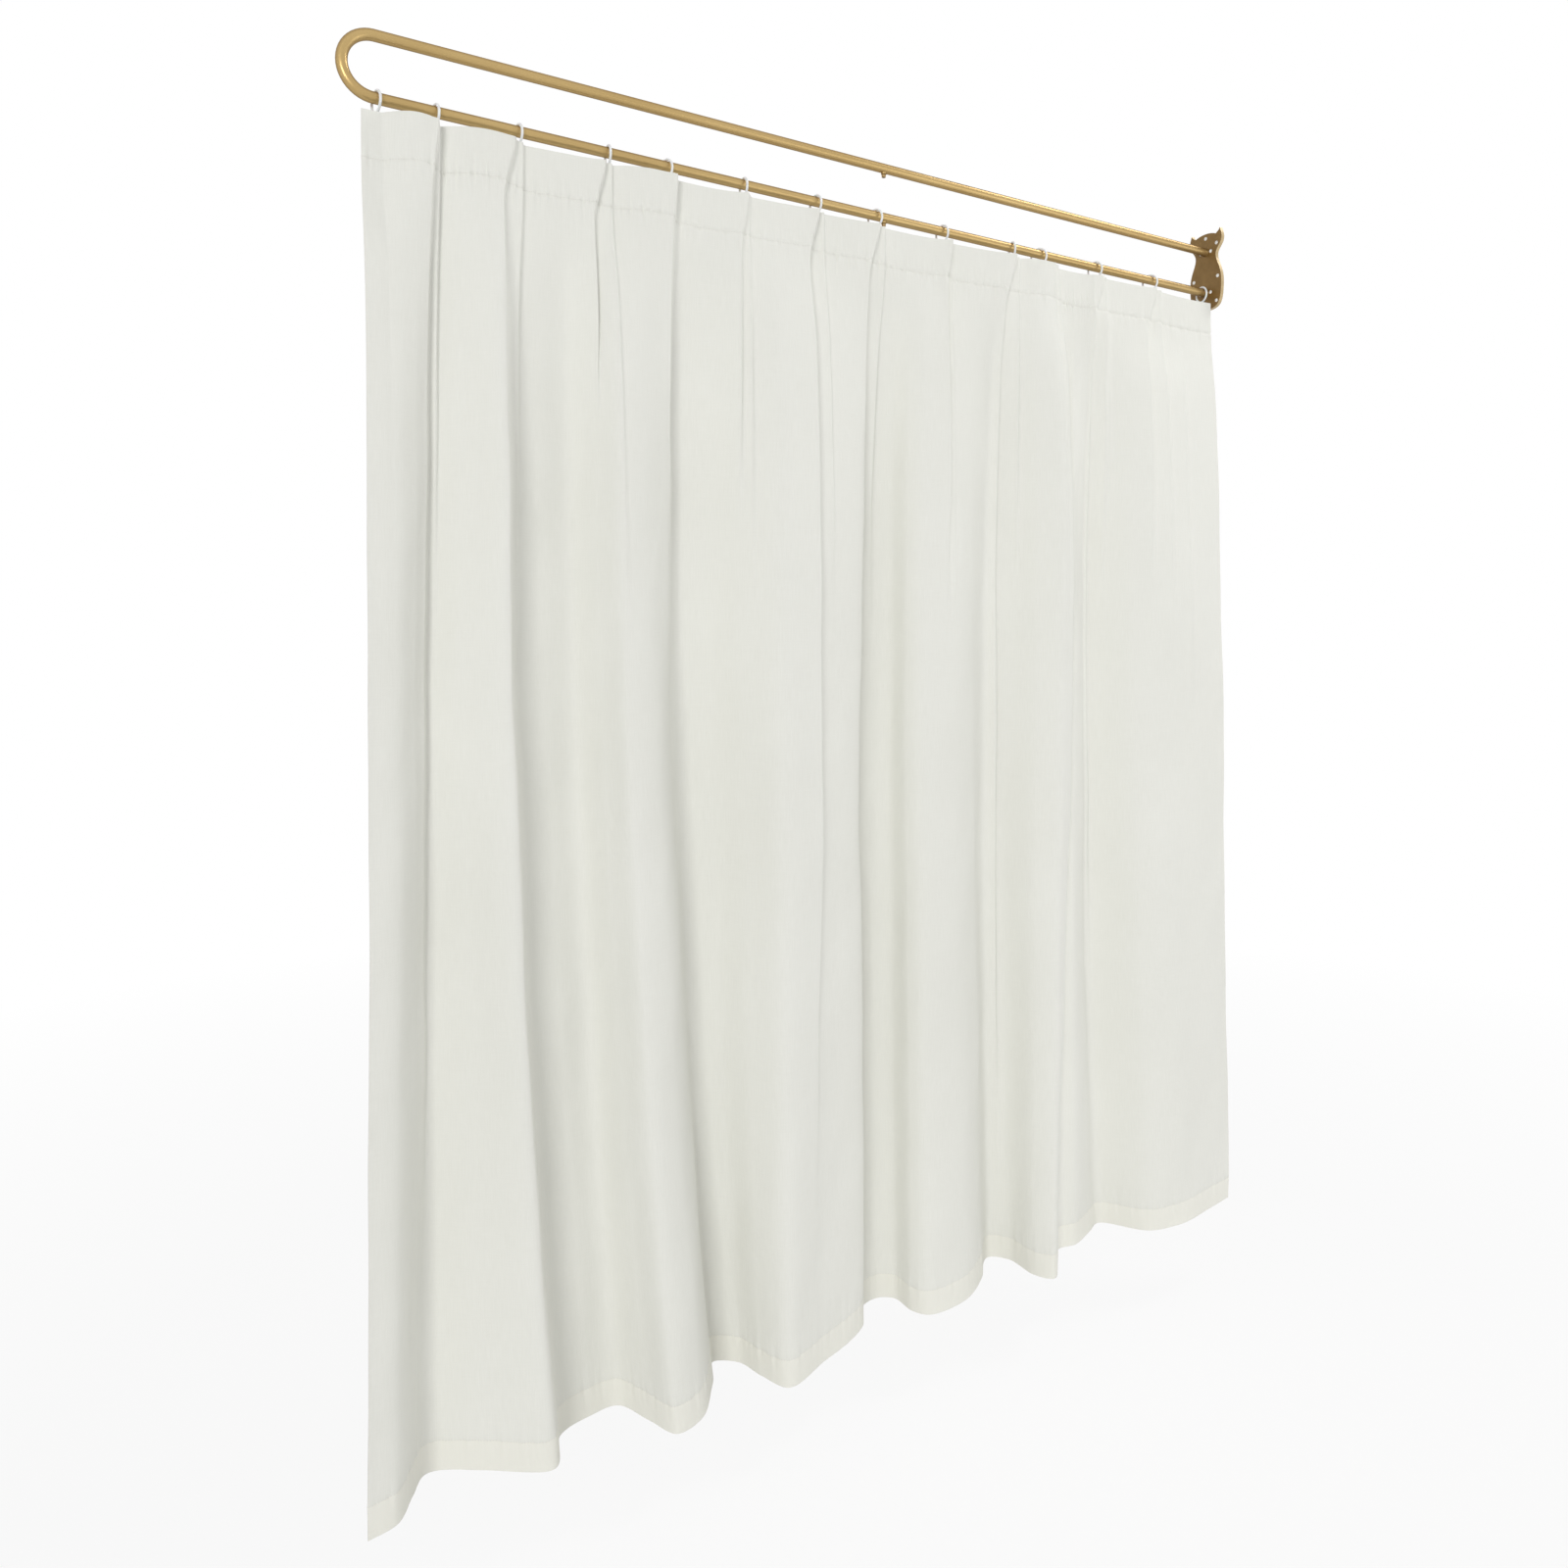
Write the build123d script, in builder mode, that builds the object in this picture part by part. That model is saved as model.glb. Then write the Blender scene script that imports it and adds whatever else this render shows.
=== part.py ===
"""U-shaped curtain rod on a cat-outline wall plate, with its rings and a hung curtain.

Millimetres. The wall is the plane X = 0, with the plate's back against it. The rod reaches out along -X
and Z is up. The origin lies half way between the two arms of the rod. The curtain's folds come forward
along -Y.
"""
import os
from math import cos, dist, pi, radians, sin

from build123d import *

os.makedirs("parts", exist_ok=True)

# Rod
tube_od = 19.0
tube_wall = 1.2
rod_spacing = 100.0  # centre to centre of the two arms
wall_tube_length = 1000.0
arm_length = 1000.0  # straight run of the bent tube, from the splice to the bend
spigot_length = 60.0  # reduced end of the bent tube inside the wall tube
shoulder_length = 4.0
fit = 0.1  # radial clearance of one piece inside another

# Wall plate: half outline from the foot up to the middle of the head, as (across, up)
plate_thickness = 10.0
foot = (0.0, -92.0)
haunch = (34.0, -84.0)
belly = (45.5, -48.0)
waist = (41.0, 4.0)
neck = (31.0, 46.0)
cheek = (44.0, 66.0)
ear_outside = (46.0, 88.0)
ear_tip = (41.5, 101.0)
ear_root = (30.0, 89.0)
head_top = (0.0, 95.0)
socket_depth = 4.0  # how deep a tube sits in the plate's face
wall_hole_d = 7.0
outer_holes_across = 64.0
outer_holes_up = 140.0
outer_holes_centre = -4.0
inner_holes_across = 30.0
side_holes_across = 71.0
side_holes_height = -15.0
top_hole_height = 84.0

# Plug in each wall tube and the countersunk bolt that holds it to the plate
plug_length = 25.0
bolt_d = 6.0
bolt_head_d = 12.0
bolt_length = 24.0
bolt_recess = 0.3
bolt_hole_d = 6.6
bolt_socket = 4.0  # across flats
bolt_socket_depth = 2.2

# Clamp screw under each wall tube, beside the splice
screw_from_splice = 16.0
boss_d = 11.0
boss_height = 2.5
screw_d = 5.0
screw_head_d = 8.5
screw_head_height = 5.0
screw_head_gap = 1.0
screw_socket = 4.0
screw_socket_depth = 2.5

# Rings, counted from the wall: place as a share of the way to the last ring, and turn in degrees
ring_places = (0.0, 0.092, 0.184, 0.272, 0.312, 0.411, 0.499, 0.572, 0.655, 0.738, 0.796, 0.880, 0.952, 1.0)
ring_turns = (-10, 20, 14, 26, -20, 5, 16, 5, -7, 15, -8, 3, 5, 8)
ring_play = 12.0  # ring's bore over the tube
ring_section_d = 4.5
ring_seat_gap = 0.3
wall_ring_gap = 15.0  # from the plate's face to the ring nearest the wall
bend_ring_gap = 4.0  # from the start of the bend to the last ring
hook_wire_d = 3.2
hook_reach = 20.0  # from the rod's middle forward to the hook's prong
hook_set_back = 6.0  # from the prong back to the stem
hook_length = 40.0
hook_prong = 20.0

# Curtain
cloth = 1.5
cloth_below_ring = 6.0
curtain_drop = 2218.0  # at the free end
hem_rise = 60.0  # how much higher the hem hangs at the wall
heading = 76.0  # stitched band at the top
pleat_depth = 25.0
pleat_bulge = 3.3  # radius of a pleat's round front
pleat_gap = 1.0  # between a hook's prong and the cloth pinched round it
pleat_fade = 2  # how soon the pleats open out below the heading
span_bows = (4, 4, 6, 14, 8, 6, 8, 6, 8, 14, 8, 14, 24)  # forward swell between two pleats, from the wall
wall_flap = 3.0  # cloth past the pleat nearest the wall
free_flap = 28.0  # cloth past the last pleat
stations = 10  # steps along the cloth between two pleats
# Bottom hem from the wall to the free end: share of the way to the last ring, and depth from the rod
hem_folds = (
    (-0.008, -66), (0.058, -88), (0.098, -95), (0.134, -76), (0.168, 18), (0.192, 0), (0.228, -28),
    (0.252, -22), (0.279, -66), (0.302, -106), (0.314, -70), (0.313, 8), (0.328, 40), (0.364, -18),
    (0.408, -68), (0.455, -70), (0.465, -40), (0.466, 20), (0.480, 42), (0.505, 31), (0.523, -28),
    (0.590, -82), (0.641, -119), (0.653, -58), (0.660, 6), (0.679, 36), (0.696, -26), (0.729, -106),
    (0.758, -122), (0.770, -58), (0.784, 12), (0.810, 11), (0.844, -10), (0.865, -88), (0.916, -24),
    (0.956, 20), (0.974, -20), (0.993, -72), (1.017, -86),
)
# Rows of the curtain's solid: share of the drop, and how far each row has gone from heading to hem
fold_rows = (
    (0.0, 0.0), (heading / curtain_drop, 0.02), (0.13, 0.41), (0.30, 0.68), (0.62, 0.90), (1.0, 1.0),
)

tube_r = tube_od / 2
tube_bore_r = tube_r - tube_wall
spigot_r = tube_bore_r - fit
upper_z = rod_spacing / 2
lower_z = -rod_spacing / 2
arms = (("upper", upper_z), ("lower", lower_z))
plate_face_x = -plate_thickness
tube_end_x = plate_face_x + socket_depth
splice_x = tube_end_x - wall_tube_length
bend_x = splice_x - arm_length
screw_x = splice_x + screw_from_splice


def save(builder, name):
    """Name a finished piece and write its file."""
    builder.part.label = name
    export_step(builder.part, f"parts/{name}.step")


def arm_plane(z, x=0.0):
    """Plane across an arm at height z, facing along +X."""
    return Plane(origin=(x, 0, z), x_dir=(0, 1, 0), z_dir=(1, 0, 0))


def level_plane(z):
    """Level plane under the clamp screws at height z."""
    return Plane(origin=(screw_x, 0, z), x_dir=(1, 0, 0), z_dir=(0, 0, 1))


# Wall plate
with BuildPart() as wall_plate:
    with BuildSketch(Plane.YZ.offset(plate_face_x)):
        with BuildLine():
            flank = (foot, haunch, belly, waist, neck, cheek, ear_outside, ear_tip)
            Spline(*flank, tangents=((1, 0), (-0.5, 1)), tangent_scalars=(1, 0.2))
            Spline(ear_tip, ear_root, tangents=((-0.2, -1), (-0.8, -0.6)))
            Spline(ear_root, head_top, tangents=((-0.9, 0.4), (-1, 0)))
            Line(head_top, foot)
        half = make_face()
        mirror(half, about=Plane.YZ)
    extrude(amount=plate_thickness)
    with BuildSketch(Plane.YZ.offset(plate_face_x)):
        with Locations((0, outer_holes_centre)):
            with GridLocations(outer_holes_across, outer_holes_up, 2, 2):
                Circle(wall_hole_d / 2)
        with GridLocations(inner_holes_across, rod_spacing, 2, 2):
            Circle(wall_hole_d / 2)
        with Locations((0, side_holes_height)):
            with GridLocations(side_holes_across, 0, 2, 1):
                Circle(wall_hole_d / 2)
        with Locations((0, top_hole_height)):
            Circle(wall_hole_d / 2)
    extrude(amount=plate_thickness, mode=Mode.SUBTRACT)
    with BuildSketch(Plane.YZ.offset(plate_face_x)):
        with Locations((0, upper_z), (0, lower_z)):
            Circle(tube_r + fit)
    extrude(amount=socket_depth, mode=Mode.SUBTRACT)
    with Locations(arm_plane(upper_z), arm_plane(lower_z)):
        CounterSinkHole(bolt_hole_d / 2, bolt_head_d / 2 + bolt_recess + fit, plate_thickness, 90)
save(wall_plate, "wall_plate")

# Two straight tubes at the wall
for side, arm_z in arms:
    with BuildPart() as wall_tube:
        with BuildSketch(arm_plane(arm_z, splice_x)):
            Circle(tube_r)
            Circle(tube_bore_r, mode=Mode.SUBTRACT)
        extrude(amount=wall_tube_length)
        with BuildSketch(level_plane(arm_z - tube_r - boss_height)):
            Circle(screw_d / 2 + fit)
        extrude(amount=tube_r + boss_height, mode=Mode.SUBTRACT)
    save(wall_tube, f"{side}_wall_tube")

# Bent tube: two arms with a reduced end, and the half turn that joins them
with BuildPart() as u_tube:
    spigot_bore_r = spigot_r - tube_wall
    for side, arm_z in arms:
        with BuildSketch(Plane.XZ):
            with BuildLine():
                Polyline(
                    (bend_x, arm_z + tube_bore_r),
                    (bend_x, arm_z + tube_r),
                    (splice_x, arm_z + tube_r),
                    (splice_x, arm_z + spigot_r),
                    (splice_x + spigot_length, arm_z + spigot_r),
                    (splice_x + spigot_length, arm_z + spigot_bore_r),
                    (splice_x - shoulder_length, arm_z + spigot_bore_r),
                    (splice_x - 2 * shoulder_length, arm_z + tube_bore_r),
                    close=True,
                )
            make_face()
        revolve(axis=Axis((bend_x, 0, arm_z), (1, 0, 0)))
    with BuildSketch(arm_plane(upper_z, bend_x)):
        Circle(tube_r)
        Circle(tube_bore_r, mode=Mode.SUBTRACT)
    revolve(axis=Axis((bend_x, 0, 0), (0, -1, 0)), revolution_arc=180)
save(u_tube, "u_tube")

# Threaded plugs in the wall tubes
with BuildPart() as tube_plugs:
    for side, arm_z in arms:
        with BuildSketch(arm_plane(arm_z, tube_end_x)):
            Circle(tube_bore_r - fit)
            Circle(bolt_d / 2 + fit, mode=Mode.SUBTRACT)
        extrude(amount=-plug_length)
save(tube_plugs, "tube_plugs")

# Countersunk bolts from behind the plate
with BuildPart() as plate_bolts:
    head_depth = (bolt_head_d - bolt_d) / 2
    for side, arm_z in arms:
        with BuildSketch(Plane.XZ):
            with BuildLine():
                Polyline(
                    (-bolt_recess, arm_z),
                    (-bolt_recess, arm_z + bolt_head_d / 2),
                    (-bolt_recess - head_depth, arm_z + bolt_d / 2),
                    (-bolt_recess - bolt_length, arm_z + bolt_d / 2),
                    (-bolt_recess - bolt_length, arm_z),
                    close=True,
                )
            make_face()
        revolve(axis=Axis((0, 0, arm_z), (1, 0, 0)))
        with BuildSketch(arm_plane(arm_z, -bolt_recess)):
            RegularPolygon(bolt_socket / 2, 6, major_radius=False)
        extrude(amount=-bolt_socket_depth, mode=Mode.SUBTRACT)
save(plate_bolts, "plate_bolts")

# Bosses under the wall tubes
with BuildPart() as joint_nuts:
    for side, arm_z in arms:
        with BuildSketch(level_plane(arm_z - tube_r - boss_height)):
            Circle(boss_d / 2)
            Circle(screw_d / 2 + fit, mode=Mode.SUBTRACT)
        extrude(amount=tube_r + boss_height)
        with BuildSketch(arm_plane(arm_z, screw_x - boss_d)):
            Circle(tube_r)
        extrude(amount=2 * boss_d, mode=Mode.SUBTRACT)
save(joint_nuts, "joint_nuts")

# Clamp screws, their tips against the bent tube's reduced ends
with BuildPart() as joint_screws:
    for side, arm_z in arms:
        head_top_z = arm_z - tube_r - boss_height - screw_head_gap
        with BuildSketch(level_plane(head_top_z)):
            Circle(screw_head_d / 2)
        extrude(amount=-screw_head_height)
        with BuildSketch(level_plane(head_top_z)):
            Circle(screw_d / 2)
        extrude(amount=arm_z - spigot_r - fit - head_top_z)
        with BuildSketch(level_plane(head_top_z - screw_head_height)):
            RegularPolygon(screw_socket / 2, 6, major_radius=False)
        extrude(amount=screw_socket_depth, mode=Mode.SUBTRACT)
save(joint_screws, "joint_screws")

# Rings with their moulded hooks
ring_bore_r = (tube_od + ring_play) / 2
ring_middle_r = ring_bore_r + ring_section_d / 2
ring_z = lower_z + tube_r + ring_seat_gap - ring_bore_r
ring_foot_z = ring_z - ring_middle_r
wall_ring_x = plate_face_x - wall_ring_gap
last_ring_x = bend_x + bend_ring_gap
ring_run = wall_ring_x - last_ring_x
cloth_top_z = ring_foot_z - ring_section_d / 2 - cloth_below_ring
hook_foot_z = cloth_top_z - hook_length
hook_r = hook_wire_d / 2


def ring_x(place):
    """Place along the rod of a share of the way from the wall ring to the last ring."""
    return wall_ring_x - place * ring_run


for number, (place, turn) in enumerate(zip(ring_places, ring_turns), start=1):
    normal = (cos(radians(turn)), sin(radians(turn)), 0)
    across = (-sin(radians(turn)), cos(radians(turn)), 0)
    ring_plane = Plane(origin=(ring_x(place), 0, 0), x_dir=across, z_dir=normal)
    with BuildPart() as ring:
        with BuildSketch(Plane(origin=(ring_x(place), 0, 0), x_dir=normal, z_dir=(0, 0, 1)).offset(ring_z)):
            with Locations((0, ring_middle_r)):
                Circle(ring_section_d / 2)
        revolve(axis=Axis((ring_x(place), 0, ring_z), normal))
        with BuildLine(ring_plane) as hook_line:
            stem_top = (0, ring_foot_z)
            stem_bend = (hook_set_back - hook_reach, cloth_top_z - 3 * hook_wire_d)
            stem_foot = (hook_set_back - hook_reach, hook_foot_z)
            prong_foot = (-hook_reach, hook_foot_z)
            Line(stem_top, stem_bend)
            Line(stem_bend, stem_foot)
            turn_foot = (hook_set_back / 2 - hook_reach, hook_foot_z - hook_set_back / 2)
            ThreePointArc(stem_foot, turn_foot, prong_foot)
            Line(prong_foot, (-hook_reach, hook_foot_z + hook_prong))
        with BuildSketch(Plane(origin=hook_line.line @ 0, z_dir=hook_line.line % 0)):
            Circle(hook_r)
        sweep(path=hook_line.line, transition=Transition.RIGHT)
    save(ring, f"ring_{number:02d}")

# Curtain: a heading line pinched round each hook, a wavy hem line, and rows of cloth blended between them
neck_half = hook_r + pleat_gap + cloth / 2
side_depth = pleat_depth - pleat_bulge  # from a pleat's neck to the start of its round front
pleats = []
for place, turn in zip(ring_places, ring_turns):
    pleats.append((ring_x(place) + hook_reach * sin(radians(turn)), -hook_reach * cos(radians(turn))))
heading_points = [(pleats[0][0] + neck_half + wall_flap, pleats[0][1], 0)]
for number, (here, back) in enumerate(pleats):
    side_half = (neck_half + pleat_bulge) / 2
    heading_points += [(here + neck_half, back, 0), (here + side_half, back, side_depth / 2)]
    for angle in range(0, 225, 45):
        across = pleat_bulge * cos(radians(angle))
        heading_points.append((here + across, back, side_depth + pleat_bulge * sin(radians(angle))))
    heading_points += [(here - side_half, back, side_depth / 2), (here - neck_half, back, 0)]
    if number < len(span_bows):
        next_here, next_back = pleats[number + 1]
        span = here - next_here - 2 * neck_half
        for station in range(1, stations):
            share = station / stations
            level = back + share * (next_back - back) - span_bows[number] * sin(pi * share)
            heading_points.append((here - neck_half - share * span, level, 0))
heading_points.append((pleats[-1][0] - neck_half - free_flap, pleats[-1][1] - 2 * cloth, 0))
heading_run = [0.0]
for before, after in zip(heading_points, heading_points[1:]):
    heading_run.append(heading_run[-1] + dist(before, after))
hem_line = Spline(*[(ring_x(place), depth) for place, depth in hem_folds])


def cloth_row(blend):
    """Middle line of the cloth, a given way from the heading to the same places along the hem."""
    row = []
    for (x, level, forward), run in zip(heading_points, heading_run):
        top = Vector(x, level - forward * (1 - blend) ** pleat_fade)
        row.append(top * (1 - blend) + (hem_line @ (run / heading_run[-1])) * blend)
    return row


def cloth_outline(row):
    """Closed outline of the cloth's thickness round its middle line."""
    front = []
    back = []
    for station, point in enumerate(row):
        before = row[max(station - 1, 0)]
        after = row[min(station + 1, len(row) - 1)]
        out = (after - before).normalized().rotate(Axis.Z, 90) * (cloth / 2)
        front.append(point + out)
        back.append(point - out)
    return front + back[::-1]


def row_plane(drop_share):
    """Plane of a row of cloth, tilting up towards the wall as it goes down to the hem."""
    slope = drop_share * hem_rise / ring_run
    height = cloth_top_z - drop_share * curtain_drop - slope * last_ring_x
    return Plane(origin=(0, 0, height), x_dir=(1, 0, slope), z_dir=(-slope, 0, 1))


with BuildPart() as curtain:
    for drop_share, blend in fold_rows:
        with BuildSketch(row_plane(drop_share)):
            with BuildLine():
                Polyline(*cloth_outline(cloth_row(blend)), close=True)
            make_face()
    loft(ruled=True)
save(curtain, "curtain")
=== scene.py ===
"""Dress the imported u-shaped curtain rod: finishes for rod, plate and rings, and the pleated curtain."""
from math import pi, radians, sin

import bpy
import numpy as np
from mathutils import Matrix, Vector


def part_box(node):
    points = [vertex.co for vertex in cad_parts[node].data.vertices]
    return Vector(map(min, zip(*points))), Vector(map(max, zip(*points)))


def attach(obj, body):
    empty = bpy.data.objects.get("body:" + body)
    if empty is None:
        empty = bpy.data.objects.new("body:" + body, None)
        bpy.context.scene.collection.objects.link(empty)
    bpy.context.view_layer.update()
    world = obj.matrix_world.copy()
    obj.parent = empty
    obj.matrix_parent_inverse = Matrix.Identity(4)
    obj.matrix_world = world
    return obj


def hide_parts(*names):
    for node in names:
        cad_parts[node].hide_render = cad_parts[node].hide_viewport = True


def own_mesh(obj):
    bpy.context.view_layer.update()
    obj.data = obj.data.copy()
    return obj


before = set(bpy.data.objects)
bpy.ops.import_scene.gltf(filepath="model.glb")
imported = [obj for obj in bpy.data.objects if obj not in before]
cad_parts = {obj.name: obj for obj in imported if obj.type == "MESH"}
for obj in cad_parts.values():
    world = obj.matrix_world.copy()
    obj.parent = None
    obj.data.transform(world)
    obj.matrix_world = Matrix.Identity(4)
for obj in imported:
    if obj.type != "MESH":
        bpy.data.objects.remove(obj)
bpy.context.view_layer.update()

MM = 0.001

# Rod and hooks, as in the part's source (mm)
bend_x = -2006.0
wall_ring_x = -25.0
bend_to_last_ring = 4.0
last_ring_x = bend_x + bend_to_last_ring
ring_run = wall_ring_x - last_ring_x
ring_places = (0.0, 0.092, 0.184, 0.272, 0.312, 0.411, 0.499, 0.572, 0.655, 0.738, 0.796, 0.880, 0.952, 1.0)
ring_turns = (-10, 20, 14, 26, -20, 5, 16, 5, -7, 15, -8, 3, 5, 8)
rings = [f"ring_{number:02d}" for number in range(1, len(ring_places) + 1)]
hook_reach = 20.0
hook_room = 4.0  # from the hook's middle to the cloth in front of it

# Plate's screw holes, as in the part's source, and how far two finishes reach (mm)
outer_holes = (64.0, 140.0, -4.0)  # apart across the plate, apart up it, and height of their middle
inner_holes = (30.0, 100.0, 0.0)
side_holes = (71.0, 0.0, -15.0)
top_hole_z = 84.0
bare_reach = 4.2  # from a hole's middle to the end of its bare metal
socket_shade_reach = 2.4  # from a clamp screw's middle to the end of its hex socket

# Curtain (mm)
cloth_top_z = -81.7
cloth_width = 2800.0
curtain_drop = 2218.0
hem_rise = 60.0  # how much higher the hem hangs at the wall
heading = 76.0
hem_height = 50.0
side_hem = 14.0
span_bows = (4, 4, 6, 14, 8, 6, 8, 6, 8, 14, 8, 14, 24)  # forward swell between two hooks, from the wall
span_dips = (4, 2, 4, -1, 2, 3, 2, 2, 5, -3, 2, -6, -2)  # sag of the top edge between two hooks
pleat_crest = 9.0  # height of the second crest of each pleat, at its hook
pleat_slope = 24.0  # its soft side, towards the free end
pleat_off = 0.003  # its share of the way to the last ring, beyond the hook
pleat_end = 0.40  # share of the drop where it ends
pleat_fade = 1.5  # its length over the length in which it fades out
# Bottom hem from the wall to the free end: share of the way to the last ring, and depth from the rod
hem_folds = (
    (-0.008, -66), (0.058, -88), (0.098, -95), (0.134, -76), (0.168, 18), (0.192, 0), (0.228, -28),
    (0.252, -22), (0.279, -66), (0.302, -106), (0.314, -70), (0.313, 8), (0.328, 40), (0.364, -18),
    (0.408, -68), (0.455, -70), (0.465, -40), (0.466, 20), (0.480, 42), (0.505, 31), (0.523, -28),
    (0.590, -82), (0.641, -119), (0.653, -58), (0.660, 6), (0.679, 36), (0.696, -26), (0.729, -106),
    (0.758, -122), (0.770, -58), (0.784, 12), (0.810, 11), (0.844, -10), (0.865, -88), (0.916, -24),
    (0.956, 20), (0.974, -20), (0.993, -72), (1.017, -86),
)
# Lines that run down the cloth: share of the way to the last ring at the top, and share of the hem's length
fold_lines = (
    (-0.002, 0.0), (0.208, 0.142), (0.259, 0.238), (0.343, 0.302), (0.523, 0.489), (0.597, 0.565),
    (0.744, 0.669), (0.902, 0.857), (0.962, 0.945), (1.015, 1.0),
)
line_bend = 2.2  # how late the lines move over to their place at the hem
# How deep the folds are on the way down: share of the drop, and share of the depth at the hem
fold_growth = ((0.0, 0.0), (0.034, 0.02), (0.13, 0.41), (0.30, 0.68), (0.62, 0.90), (1.0, 1.0))
# Sharp folds: share of the way to the last ring at the top, height, and start and end as shares of the drop
ridges = (
    (0.060, 7, 0.10, 0.50), (0.122, 15, 0.00, 0.35), (0.179, 6, 0.05, 0.30), (0.208, 16, 0.00, 0.80),
    (0.259, 18, 0.00, 0.70), (0.343, 20, 0.00, 1.00), (0.423, 17, 0.00, 0.40), (0.523, 16, 0.00, 0.45),
    (0.597, 20, 0.00, 0.90), (0.672, 15, 0.00, 0.30), (0.744, 16, 0.00, 0.45), (0.820, 15, 0.00, 0.22),
    (0.902, 12, 0.00, 0.45), (0.962, 13, 0.00, 0.95),
)
ridge_gather = 0.5  # how far the sharp folds run together at the hooks
gather_headings = 1.5  # depth, in headings, where they are back on their own lines
ridge_rise = 0.03  # share of the drop in which a sharp fold starts
ridge_fade = 2.0  # its length over the length in which it fades out
ridge_slope = 70.0  # soft side of a sharp fold, towards the free end
ridge_drop = 7.0  # its steep side, towards the wall
dip_reach = 260.0  # how far down the sag of the top edge is felt
# Waves over the cloth: height, length across, length down and start
ease_waves = ((1.3, 410, 900, 0.3), (1.0, -290, 520, 1.9), (0.8, 170, 1300, 4.1), (0.5, -130, 240, 2.2))
pucker_waves = ((1.0, 31, 900, 0.4), (0.8, 19, -700, 2.1), (0.7, 53, 800, 3.7), (0.5, 12, 600, 5.0))
ease_start = 150.0  # depth where the long waves start
ease_rise = 400.0  # drop in which they reach their height
heading_pucker = 0.9  # height of the puckers as a share of their waves
heading_pucker_reach = 16.0
hem_pucker = 0.6
hem_pucker_reach = 20.0
heading_groove = 1.6  # how deep the seam draws the cloth in
hem_groove = 0.9
groove_reach = 2.6
hem_behind = 0.9  # how far the second layer of heading and hem lies behind the cloth
side_hem_behind = 0.7

# Mesh of the cloth (mm): rows from the top edge, from the heading's seam and from the hem's seam
columns = 900
side_hem_columns = 3
top_rows = (0, 3, 12, 24, 38, 52)
heading_rows = (-10, -5, -2.5, 0, 2.5, 5, 10, 18, 30, 46)
hem_rows = (-22, -12, -6, -2.5, 0, 2.5, 6, 14, 26, 38, 47, 50)
middle_rows = 80
plan_step = 0.0008  # share of the width over which the cloth's turn is measured

# Cloth's tones and stitches (mm)
cloth_tones = ((0.78, 0.78, 0.725), (0.825, 0.825, 0.775))  # dark and light
layer_tones = ((0.775, 0.77, 0.705), (0.825, 0.82, 0.76))
hem_tone = (0.86, 0.85, 0.77)  # the hem's two layers look paler and warmer than one
hem_tone_share = 0.6
stitch_pitch = 5.0
stitch_length = 3.2
stitch_width = 0.7
stitch_proud = 0.35
stitch_taper = 0.4  # width of a stitch's ends as a share of its middle

# Photograph's view
lens_px = 1280.0
frame_px = 1600.0
horizon_px = 677.5
camera_place = (-2.519, -2.051, -0.957)
camera_yaw = 57.84  # degrees from +X to the way the camera looks
sensor_mm = 36.0

# Studio (m)
floor_below_hem = 0.12
floor_reach = 30.0
floor_white = 0.88  # share of plain white in the floor near the cloth
floor_fade = (1.6, 4.5)  # from where to where the floor turns white
world_light = 0.555
cloth_middle = (-1.0, 0.0, -1.2)
# Lamps: place, target, size and watts
lamps = {
    "key": ((-13.0, -14.0, 0.5), cloth_middle, 5.0, 1220),
    "fill": ((2.2, -3.6, -1.8), cloth_middle, 3.0, 36),
    "top": ((1.5, -0.8, 2.1), (-0.5, 0.0, 0.0), 1.0, 35),
}


def ring_x(place):
    """Place along the rod of a share of the way from the wall ring to the last ring."""
    return wall_ring_x - place * ring_run


class SmoothLine:
    """A smooth line through points, read at shares of its length."""

    def __init__(self, points, steps=40):
        knots = np.array(points, float)
        gaps = np.sqrt(np.linalg.norm(np.diff(knots, axis=0), axis=1))
        times = np.concatenate([[0.0], np.cumsum(gaps)])
        slopes = np.gradient(knots, times, axis=0)
        share = np.linspace(0, 1, steps, endpoint=False)[:, None]
        pieces = []
        for i, gap in enumerate(gaps):
            rise = share**2 * (3 - 2 * share)
            start = share * (1 - share) ** 2 * gap
            end = share**2 * (share - 1) * gap
            through = knots[i] * (1 - rise) + knots[i + 1] * rise
            pieces.append(through + slopes[i] * start + slopes[i + 1] * end)
        self.path = np.vstack(pieces + [knots[-1:]])
        lengths = np.linalg.norm(np.diff(self.path, axis=0), axis=1)
        self.run = np.concatenate([[0.0], np.cumsum(lengths)])
        self.length = self.run[-1]

    def at(self, share):
        """Points at shares of the line's length."""
        where = np.asarray(share) * self.length
        return np.stack([np.interp(where, self.run, values) for values in self.path.T], axis=-1)


hem_line = SmoothLine([(ring_x(place), depth) for place, depth in hem_folds])
growth_line = SmoothLine(fold_growth)
line_tops, line_feet = np.array(fold_lines).T
hook_places = np.array([
    place - hook_reach * sin(radians(turn)) / ring_run for place, turn in zip(ring_places, ring_turns)
])


def ripple(across, down, waves):
    """Sum of waves over the cloth: each is height, length across, length down and start."""
    total = np.zeros(np.broadcast(across, down).shape)
    for height, length_across, length_down, start in waves:
        total = total + height * np.sin(2 * pi * (across / length_across + down / length_down) + start)
    return total


def smooth(value):
    """Smooth step from 0 to 1."""
    value = np.clip(value, 0, 1)
    return value * value * (3 - 2 * value)


def between_hooks(place, heights):
    """Arches between the hooks, one height for each span."""
    span = np.clip(np.searchsorted(hook_places, place) - 1, 0, len(heights) - 1)
    inside = np.clip((place - hook_places[span]) / (hook_places[span + 1] - hook_places[span]), 0, 1)
    return np.array(heights, float)[span] * np.sin(pi * inside)


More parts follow.
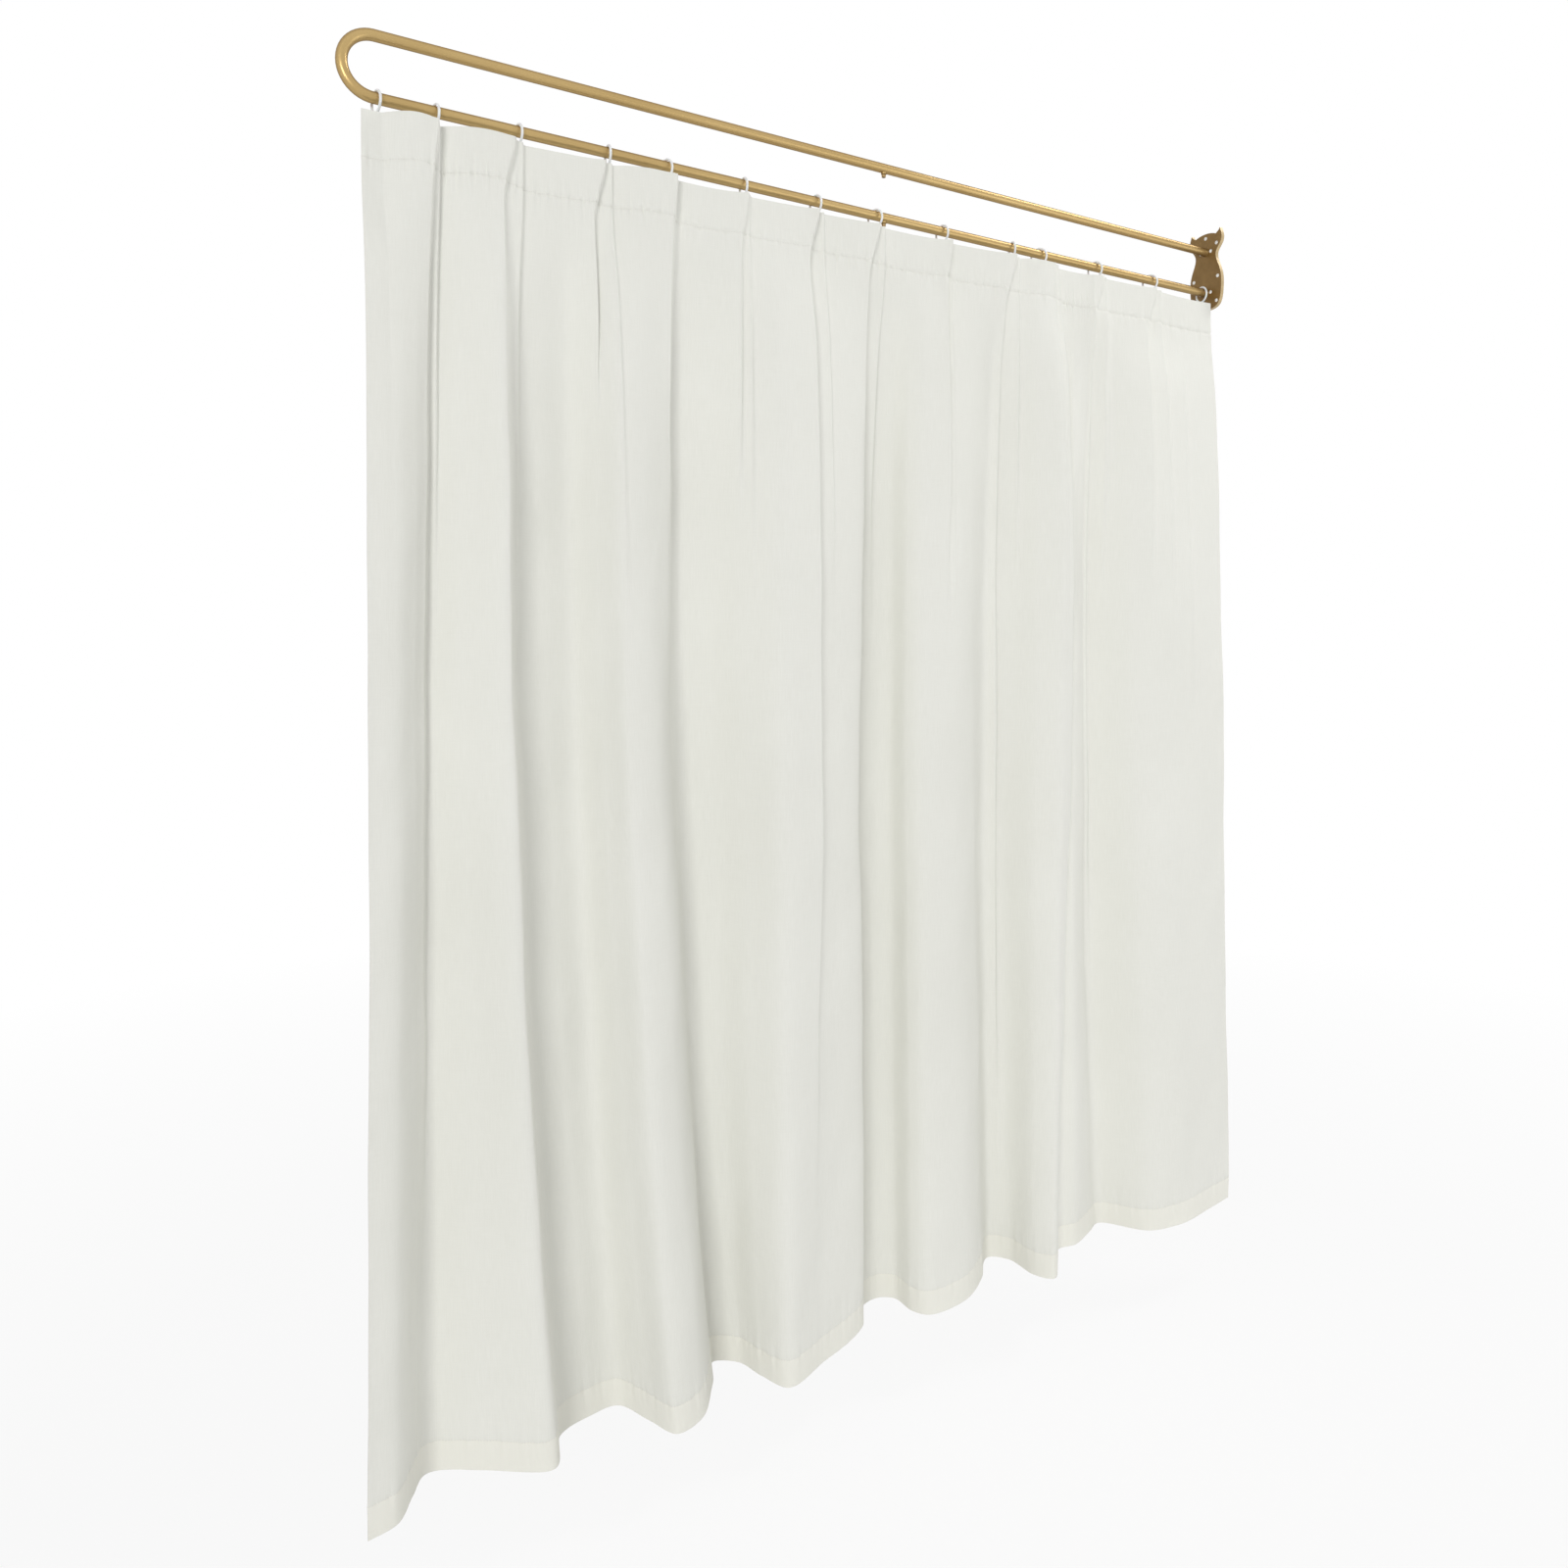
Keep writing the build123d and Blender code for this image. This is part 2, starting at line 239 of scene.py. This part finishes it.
def sharp_fold(share, place, slope):
    """Height from 0 to 1 of a fold: soft on the side of the free end, steep on the other."""
    off = (share - np.interp(place, line_tops, line_feet)) * cloth_width
    return np.where(off > 0, np.exp(-np.abs(off) / slope), np.exp(-((off / ridge_drop) ** 2)))


def sharp_folds(share, down):
    """How far the sharp folds and the pleats stand forward."""
    total = np.zeros_like(share)
    low = down / curtain_drop
    gathered = ridge_gather * (1 - smooth(down / (gather_headings * heading)))
    for place, height, start, end in ridges:
        hook = hook_places[np.abs(hook_places - place).argmin()]
        reach = smooth((low - start) / ridge_rise + 1) * smooth(ridge_fade * (end - low) / (end - start))
        total = total + height * reach * sharp_fold(share, place + (hook - place) * gathered, ridge_slope)
    for hook in hook_places[1:-1]:
        reach = smooth(pleat_fade * (pleat_end - low) / pleat_end)
        total = total + pleat_crest * reach * sharp_fold(share, hook + pleat_off, pleat_slope)
    return total


def cloth_plan(share, down):
    """Middle of the cloth in plan, at shares of its width and distances below its top edge."""
    low = down / curtain_drop
    growth = np.interp(low, growth_line.path[:, 0], growth_line.path[:, 1])
    bend = low**line_bend
    place = np.interp(share, line_feet, line_tops)
    hem = hem_line.at(share)
    even_hem = np.interp(share, line_feet, hem_line.at(line_feet)[:, 0])
    along = ring_x(place) * (1 - bend) + even_hem * bend + (hem[..., 0] - even_hem) * growth
    heading_depth = -hook_reach - hook_room - between_hooks(place, span_bows)
    depth = heading_depth * (1 - growth) + hem[..., 1] * growth
    depth = depth - sharp_folds(share, down)
    return np.stack([along, depth], axis=-1)


def cloth_at(share, down, out=0.0):
    """Points of the cloth in mm, moved out to its front by a little."""
    share, down = np.broadcast_arrays(np.asarray(share, float), np.asarray(down, float))
    flat = cloth_plan(share, down)
    ahead = cloth_plan(np.clip(share + plan_step, 0, 1), down)
    run = ahead - cloth_plan(np.clip(share - plan_step, 0, 1), down)
    run /= np.linalg.norm(run, axis=-1, keepdims=True)
    front = np.stack([-run[..., 1], run[..., 0]], axis=-1)
    across = share * cloth_width
    from_seam = np.abs(down - heading)
    from_hem_seam = np.abs(down - (curtain_drop - hem_height))
    push = ripple(across, down, ease_waves) * np.clip((down - ease_start) / ease_rise, 0, 1)
    puckered = heading_pucker * np.exp(-from_seam / heading_pucker_reach)
    puckered = puckered + hem_pucker * np.exp(-from_hem_seam / hem_pucker_reach)
    push = push + ripple(across, down, pucker_waves) * puckered
    push = push - heading_groove * np.exp(-((from_seam / groove_reach) ** 2))
    push = push - hem_groove * np.exp(-((from_hem_seam / groove_reach) ** 2))
    flat = flat + front * (push + out)[..., None]
    slope = down / curtain_drop * hem_rise / ring_run
    height = cloth_top_z - down + slope * (flat[..., 0] - last_ring_x)
    place = np.interp(share, line_feet, line_tops)
    height = height - between_hooks(place, span_dips) * np.exp(-((down / dip_reach) ** 2))
    return np.concatenate([flat, height[..., None]], axis=-1)


def row_depths():
    """Distances of the mesh's rows below the top edge, close together at the seams."""
    seam = heading + np.array(heading_rows)
    hem_seam = curtain_drop - hem_height + np.array(hem_rows)
    middle = np.linspace(seam[-1], hem_seam[0], middle_rows)[1:-1]
    return np.concatenate([top_rows, seam, middle, hem_seam])


def grid_mesh(name, points, uvs):
    """Mesh object from a grid of points, with its cloth coordinates in metres as UVs."""
    rows, cols = points.shape[:2]
    numbers = np.arange(rows * cols).reshape(rows, cols)
    corners = (numbers[:-1, :-1], numbers[1:, :-1], numbers[1:, 1:], numbers[:-1, 1:])
    faces = np.stack(corners, axis=-1).reshape(-1, 4)
    mesh = bpy.data.meshes.new(name)
    mesh.from_pydata((points.reshape(-1, 3) * MM).tolist(), [], faces.tolist())
    layer = mesh.uv_layers.new(name="cloth")
    layer.data.foreach_set("uv", (uvs.reshape(-1, 2)[faces.reshape(-1)] * MM).ravel())
    mesh.shade_smooth()
    piece = bpy.data.objects.new(name, mesh)
    bpy.context.collection.objects.link(piece)
    return piece


def cloth_patch(name, shares, downs, out=0.0):
    """Piece of the cloth's surface between given shares of its width and distances below its top."""
    share, down = np.meshgrid(shares, downs)
    return grid_mesh(name, cloth_at(share, down, out), np.stack([share * cloth_width, down], axis=-1))


def stitch_row(name, down):
    """Row of stitches across the cloth, each a small flat bar on its front."""
    count = int(cloth_width / stitch_pitch)
    start = (np.arange(count) + 0.5) / count
    half = stitch_length / 2 / cloth_width
    lines = [
        cloth_at(start + side * half, down, proud)
        for side, proud in ((-1, stitch_proud), (0, 2 * stitch_proud), (1, stitch_proud))
    ]
    up = np.array([0, 0, stitch_width / 2])
    tip = up * stitch_taper
    verts = []
    faces = []
    for left, middle, right in zip(*lines):
        base = len(verts)
        verts += [left - tip, left + tip, middle + up, right + tip, right - tip, middle - up]
        faces += [[base, base + 1, base + 2, base + 5], [base + 5, base + 2, base + 3, base + 4]]
    mesh = bpy.data.meshes.new(name)
    mesh.from_pydata((np.array(verts) * MM).tolist(), [], faces)
    piece = bpy.data.objects.new(name, mesh)
    bpy.context.collection.objects.link(piece)
    return piece


class Finish:
    """A material with its node tree at hand."""

    def __init__(self, name, coordinates="Object"):
        self.material = bpy.data.materials.new(name)
        self.material.use_nodes = True
        self.tree = self.material.node_tree
        self.shader = self.tree.nodes["Principled BSDF"]
        self.place = self.node("ShaderNodeTexCoord").outputs[coordinates]

    def node(self, kind, **settings):
        made = self.tree.nodes.new(kind)
        for key, value in settings.items():
            setattr(made, key, value)
        return made

    def link(self, out, into):
        self.tree.links.new(out, into)

    def put(self, **values):
        """Set constants on the shader's own sockets."""
        for key, value in values.items():
            self.shader.inputs[key.replace("_", " ")].default_value = value

    def feed(self, **outputs):
        """Link outputs to the shader's own sockets."""
        for key, out in outputs.items():
            self.link(out, self.shader.inputs[key.replace("_", " ")])

    def noise(self, scale, detail=3.0, stretch=(1, 1, 1), distortion=0.0):
        """Noise over the surface, at a scale per metre."""
        mapping = self.node("ShaderNodeMapping")
        mapping.inputs["Scale"].default_value = [scale * s for s in stretch]
        self.link(self.place, mapping.inputs["Vector"])
        noise = self.node("ShaderNodeTexNoise")
        noise.inputs["Scale"].default_value = 1.0
        noise.inputs["Detail"].default_value = detail
        noise.inputs["Distortion"].default_value = distortion
        self.link(mapping.outputs["Vector"], noise.inputs["Vector"])
        return noise.outputs["Fac"]

    def tones(self, value, dark, light, span=(0.3, 0.7)):
        """Colours from dark to light over a span of a value."""
        ramp = self.node("ShaderNodeValToRGB")
        for element, position, colour in zip(ramp.color_ramp.elements, span, (dark, light)):
            element.position = position
            element.color = (*colour, 1)
        self.link(value, ramp.inputs["Fac"])
        return ramp.outputs["Color"]

    def blend(self, first, second, share):
        """Mean of two values, weighted by the first one's share."""
        parts = (self.math("MULTIPLY", first, share), self.math("MULTIPLY", second, 1 - share))
        return self.math("ADD", *parts)

    def math(self, operation, first, second=None):
        node = self.node("ShaderNodeMath", operation=operation)
        for socket, value in zip(node.inputs, (first, second)):
            if value is None:
                continue
            if isinstance(value, (int, float)):
                socket.default_value = value
            else:
                self.link(value, socket)
        return node.outputs[0]

    def span(self, value, low, high, source=(0.0, 1.0)):
        """Map a value from one range to low..high."""
        node = self.node("ShaderNodeMapRange")
        node.inputs["From Min"].default_value, node.inputs["From Max"].default_value = source
        node.inputs["To Min"].default_value = low
        node.inputs["To Max"].default_value = high
        self.link(value, node.inputs["Value"])
        return node.outputs["Result"]

    def mix(self, share, first, second):
        """Mix of two colours, each a socket or a constant."""
        node = self.node("ShaderNodeMix", data_type="RGBA")
        for socket, value in ((node.inputs[0], share), (node.inputs[6], first), (node.inputs[7], second)):
            if isinstance(value, tuple):
                socket.default_value = (*value, 1)
            else:
                self.link(value, socket)
        return node.outputs[2]

    def bump(self, height, strength, distance, under=None):
        node = self.node("ShaderNodeBump")
        node.inputs["Strength"].default_value = strength
        node.inputs["Distance"].default_value = distance
        self.link(height, node.inputs["Height"])
        if under is not None:
            self.link(under, node.inputs["Normal"])
        return node.outputs["Normal"]

    def axis_distance(self, points, axes):
        """Shortest distance in metres from any of some points, counted along two of the axes."""
        parts = self.node("ShaderNodeSeparateXYZ")
        self.link(self.place, parts.inputs[0])
        nearest = None
        for point in points:
            steps = [self.math("SUBTRACT", parts.outputs[axis], value) for axis, value in zip(axes, point)]
            squares = [self.math("MULTIPLY", step, step) for step in steps]
            far = self.math("SQRT", self.math("ADD", *squares))
            nearest = far if nearest is None else self.math("MINIMUM", nearest, far)
        return nearest

    def below(self, value, limit):
        return self.math("LESS_THAN", value, limit)


def gold_paint():
    """Satin gold paint with a fine grain, and painted shade that turns it brown towards the rims, where the
    surface turns away from the view.
    """
    finish = Finish("gold_paint_finish")
    cloud = finish.noise(scale=14, stretch=(0.3, 1, 1))
    tone = finish.tones(cloud, dark=(0.49, 0.34, 0.14), light=(0.56, 0.40, 0.175))
    turned = finish.node("ShaderNodeLayerWeight")
    turned.inputs["Blend"].default_value = 0.5
    # painted shade: the base colour darkens to brown as the surface turns away from the view, so the tube's
    # rims look shaded
    rim_shade = finish.span(turned.outputs["Facing"], low=0.0, high=1.0, source=(0.22, 0.8))
    rim_shade_tone = (0.20, 0.11, 0.035)
    finish.feed(
        Base_Color=finish.mix(rim_shade, tone, rim_shade_tone),
        Roughness=finish.span(finish.noise(scale=160, detail=2), low=0.26, high=0.36),
        Normal=finish.bump(finish.noise(scale=900, detail=2), strength=0.05, distance=0.0002),
    )
    finish.put(Metallic=0.5, Specular_IOR_Level=0.5, Specular_Tint=(0.8, 0.66, 0.42, 1))
    return finish.material


def plate_holes():
    """Places of the plate's screw holes across and up, in metres."""
    holes = [(0.0, top_hole_z)]
    for across, up, middle in (outer_holes, inner_holes, side_holes):
        ends = (-1, 1) if up else (0,)
        holes += [(side * across / 2, middle + end * up / 2) for side in (-1, 1) for end in ends]
    return [(across * MM, height * MM) for across, height in holes]


def plate_paint():
    """Gold paint with painted shade darkening the plate's face, a painted highlight making its edges paler,
    and bright metal in the screw holes.
    """
    finish = Finish("plate_paint_finish")
    face_shade_tone = finish.tones(finish.noise(scale=55, detail=4), dark=(0.195, 0.11, 0.028), light=(0.24, 0.14, 0.04))
    edge_highlight_tone = finish.tones(finish.noise(scale=120), dark=(0.46, 0.345, 0.18), light=(0.54, 0.41, 0.225))
    # painted shade and highlight: faces turned along the rod get the dark face tone, all other faces the pale
    # edge tone
    normal = finish.node("ShaderNodeSeparateXYZ")
    finish.link(finish.node("ShaderNodeNewGeometry").outputs["Normal"], normal.inputs[0])
    edge_turn = 0.6  # the normal's part along the rod is smaller than this on the edge
    turned = finish.below(finish.math("ABSOLUTE", normal.outputs[0]), edge_turn)
    painted = finish.mix(turned, face_shade_tone, edge_highlight_tone)
    bare = finish.below(finish.axis_distance(plate_holes(), (1, 2)), bare_reach * MM)
    bare_tone = (0.88, 0.87, 0.84)
    finish.feed(
        Base_Color=finish.mix(bare, painted, bare_tone),
        Roughness=finish.span(finish.noise(scale=240), low=0.36, high=0.5),
        Normal=finish.bump(finish.noise(scale=700, detail=2), strength=0.07, distance=0.0002),
    )
    finish.put(Metallic=0.35)
    return finish.material


def plain_steel():
    """Zinc plated steel with fine turning marks."""
    finish = Finish("plain_steel_finish")
    cloud = finish.noise(scale=90, detail=4)
    marks = finish.noise(scale=400, detail=2, stretch=(6, 1, 1))
    finish.feed(
        Base_Color=finish.tones(cloud, dark=(0.50, 0.50, 0.50), light=(0.66, 0.66, 0.65)),
        Roughness=finish.span(finish.noise(scale=60, detail=2), low=0.25, high=0.45),
        Normal=finish.bump(marks, strength=0.1, distance=0.0002),
    )
    finish.put(Metallic=1.0)
    return finish.material


def screw_finish():
    """Gold screw with painted shade, near black, inside its hex socket."""
    finish = Finish("clamp_screw_finish")
    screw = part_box("joint_screws")
    middle = [(screw[0][axis] + screw[1][axis]) / 2 for axis in (0, 1)]
    # painted shade: near black within this reach of the screw's middle, where the hex socket lies in shade
    socket = finish.below(finish.axis_distance([middle], (0, 1)), socket_shade_reach * MM)
    tone = finish.tones(finish.noise(scale=300), dark=(0.34, 0.22, 0.09), light=(0.44, 0.30, 0.14))
    socket_shade_tone = (0.015, 0.013, 0.012)
    finish.feed(
        Base_Color=finish.mix(socket, tone, socket_shade_tone),
        Roughness=finish.span(finish.noise(scale=200, detail=2), low=0.32, high=0.46),
    )
    finish.put(Metallic=0.6)
    return finish.material


def ring_plastic():
    """White moulded plastic with a faint flow mottle."""
    finish = Finish("ring_plastic_finish")
    finish.feed(
        Base_Color=finish.tones(finish.noise(scale=120), dark=(0.80, 0.81, 0.82), light=(0.87, 0.87, 0.87)),
        Roughness=finish.span(finish.noise(scale=300, detail=2), low=0.24, high=0.38),
        Normal=finish.bump(finish.noise(scale=500, detail=2), strength=0.04, distance=0.0002),
    )
    finish.put(Subsurface_Weight=0.08)
    return finish.material


def weave(finish, pitch):
    """Plain weave over the cloth's own coordinates: the product of a wave across and a wave down."""
    parts = finish.node("ShaderNodeSeparateXYZ")
    finish.link(finish.place, parts.inputs[0])
    turns = [finish.math("MULTIPLY", parts.outputs[axis], pi / pitch) for axis in (0, 1)]
    return finish.math("MULTIPLY", *[finish.math("SINE", turn) for turn in turns])


def curtain_cloth(name, dark, light):
    """Close plain weave: slubs along both threads, a soft mottle, a matt sheen and a warmer bottom hem."""
    finish = Finish(name, "UV")
    warp = finish.noise(scale=1.0, stretch=(620, 26, 1))
    weft = finish.noise(scale=1.0, stretch=(22, 560, 1))
    threads = finish.blend(warp, weft, share=0.7)
    mottled = finish.blend(threads, finish.noise(scale=2.2, detail=4), share=0.6)
    tone = finish.tones(mottled, dark, light, span=(0.36, 0.64))
    down = finish.node("ShaderNodeSeparateXYZ")
    finish.link(finish.place, down.inputs[0])
    in_hem = finish.math("GREATER_THAN", down.outputs[1], (curtain_drop - hem_height) * MM)
    doubled = finish.math("MULTIPLY", in_hem, hem_tone_share)
    crease_noise = finish.noise(scale=7.5, detail=5, stretch=(1, 0.8, 1), distortion=0.6)
    creases = finish.bump(crease_noise, strength=0.34, distance=0.012)
    slubs = finish.bump(threads, strength=0.12, distance=0.0012, under=creases)
    finish.feed(
        Base_Color=finish.mix(doubled, tone, hem_tone),
        Roughness=finish.span(threads, low=0.82, high=0.95),
        Normal=finish.bump(weave(finish, pitch=0.0007), strength=0.15, distance=0.0002, under=slubs),
    )
    finish.put(Sheen_Weight=0.15, Sheen_Roughness=0.5, Specular_IOR_Level=0.15)
    return finish.material


def thread_finish():
    """Sewing thread with a fine grain."""
    finish = Finish("thread_finish")
    cloud = finish.noise(scale=500, detail=2)
    grain = finish.noise(scale=2500, detail=1)
    finish.feed(
        Base_Color=finish.tones(cloud, dark=(0.66, 0.65, 0.60), light=(0.76, 0.75, 0.71)),
        Normal=finish.bump(grain, strength=0.3, distance=0.0003),
    )
    finish.put(Roughness=0.6)
    return finish.material


def dress_node(name, material):
    """Give a CAD node a finish on all its slots."""
    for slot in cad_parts[name].material_slots:
        slot.material = material


def hang(piece, material):
    """A piece of the curtain: it hangs on the rod and is drawn to the wall with the rings."""
    piece.data.materials.append(material)
    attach(piece, "rod")
    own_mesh(piece)


def build_curtain():
    """The cloth, its hems and its rows of stitches."""
    shares = np.linspace(0, 1, columns + 1)
    downs = row_depths()
    body_finish = curtain_cloth("curtain_cloth_finish", *cloth_tones)
    hem_finish = curtain_cloth("curtain_hem_finish", *layer_tones)
    cloth = cloth_patch("curtain_sheet", shares, downs)
    half = shares[::2]
    side_shares = np.linspace(0, side_hem / cloth_width, side_hem_columns + 1)
    extras = [
        cloth_patch("heading_band", half, downs[downs <= heading], -hem_behind),
        cloth_patch("bottom_hem", half, downs[downs >= curtain_drop - hem_height], -hem_behind),
        cloth_patch("wall_side_hem", side_shares, downs, -side_hem_behind),
        cloth_patch("free_side_hem", 1 - side_shares[::-1], downs, -side_hem_behind),
    ]
    threads = [
        stitch_row("heading_stitches", heading),
        stitch_row("hem_stitches", curtain_drop - hem_height),
    ]
    hang(cloth, body_finish)
    thread = thread_finish()
    for piece in extras:
        hang(piece, hem_finish)
    for piece in threads:
        hang(piece, thread)
    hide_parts("curtain")


def seen_directly(tree):
    """1 for what the camera sees, straight, mirrored or through glass, and 0 for light on things."""
    path = tree.nodes.new("ShaderNodeLightPath")
    seen = path.outputs["Is Camera Ray"]
    for kind in ("Is Glossy Ray", "Is Transmission Ray"):
        either = tree.nodes.new("ShaderNodeMath")
        either.operation = "MAXIMUM"
        tree.links.new(seen, either.inputs[0])
        tree.links.new(path.outputs[kind], either.inputs[1])
        seen = either.outputs[0]
    return seen


def build_stage():
    """Pale floor under the curtain, white at a distance and keeping the soft shadow near the cloth."""
    floor_z = (cloth_top_z - curtain_drop) * MM - floor_below_hem
    corners = [(x * floor_reach, y * floor_reach, floor_z) for x, y in ((-1, -1), (1, -1), (1, 1), (-1, 1))]
    mesh = bpy.data.meshes.new("floor")
    mesh.from_pydata(corners, [], [(0, 1, 2, 3)])
    floor = bpy.data.objects.new("floor", mesh)
    bpy.context.collection.objects.link(floor)
    finish = Finish("floor_finish")
    cloud = finish.noise(scale=0.8)
    tone = finish.tones(cloud, dark=(0.80, 0.80, 0.80), light=(0.85, 0.85, 0.85), span=(0.2, 0.8))
    finish.feed(Base_Color=tone)
    finish.put(Roughness=0.9, Specular_IOR_Level=0.0)
    far = finish.axis_distance([(ring_x(0.5) * MM, 0.0)], (0, 1))
    white = finish.span(far, floor_white, 1.0, floor_fade)
    mixed = finish.node("ShaderNodeMixShader")
    finish.link(finish.math("MULTIPLY", seen_directly(finish.tree), white), mixed.inputs[0])
    finish.link(finish.shader.outputs[0], mixed.inputs[1])
    finish.link(finish.node("ShaderNodeEmission").outputs[0], mixed.inputs[2])
    finish.link(mixed.outputs[0], finish.tree.nodes["Material Output"].inputs["Surface"])
    mesh.materials.append(finish.material)


def build_world():
    """White behind the object, and a dimmer even light on it."""
    world = bpy.data.worlds.new("studio")
    bpy.context.scene.world = world
    world.use_nodes = True
    tree = world.node_tree
    back = tree.nodes["Background"]
    level = tree.nodes.new("ShaderNodeMapRange")
    level.inputs["To Min"].default_value = world_light
    level.inputs["To Max"].default_value = 1.0
    tree.links.new(seen_directly(tree), level.inputs["Value"])
    tree.links.new(level.outputs["Result"], back.inputs["Strength"])
    back.inputs["Color"].default_value = (1, 1, 1, 1)


def area_light(name, place, target, size, watts):
    """Soft square lamp aimed at a point, itself not in the picture."""
    data = bpy.data.lights.new(name, "AREA")
    data.size = size
    data.energy = watts
    lamp = bpy.data.objects.new(name, data)
    lamp.location = place
    lamp.visible_camera = False
    lamp.rotation_euler = (Vector(target) - Vector(place)).to_track_quat("-Z", "Y").to_euler()
    bpy.context.collection.objects.link(lamp)


def build_camera():
    """Level camera at the photograph's place, its frame shifted to the photograph's horizon."""
    data = bpy.data.cameras.new("camera")
    data.sensor_width = sensor_mm
    data.lens = lens_px / frame_px * sensor_mm
    data.shift_y = (horizon_px - frame_px / 2) / frame_px
    camera = bpy.data.objects.new("camera", data)
    camera.location = camera_place
    camera.rotation_euler = (radians(90), 0, radians(camera_yaw - 90))
    bpy.context.collection.objects.link(camera)
    bpy.context.scene.camera = camera


gold = gold_paint()
for node in ("upper_wall_tube", "lower_wall_tube", "u_tube", "joint_nuts"):
    dress_node(node, gold)
dress_node("wall_plate", plate_paint())
dress_node("joint_screws", screw_finish())
steel = plain_steel()
for node in ("tube_plugs", "plate_bolts"):
    dress_node(node, steel)
plastic = ring_plastic()
for ring in rings:
    dress_node(ring, plastic)
build_curtain()
build_stage()
build_world()
for lamp, (place, target, size, watts) in lamps.items():
    area_light(lamp, place, target, size, watts)
build_camera()
bpy.context.scene.view_settings.view_transform = "Standard"
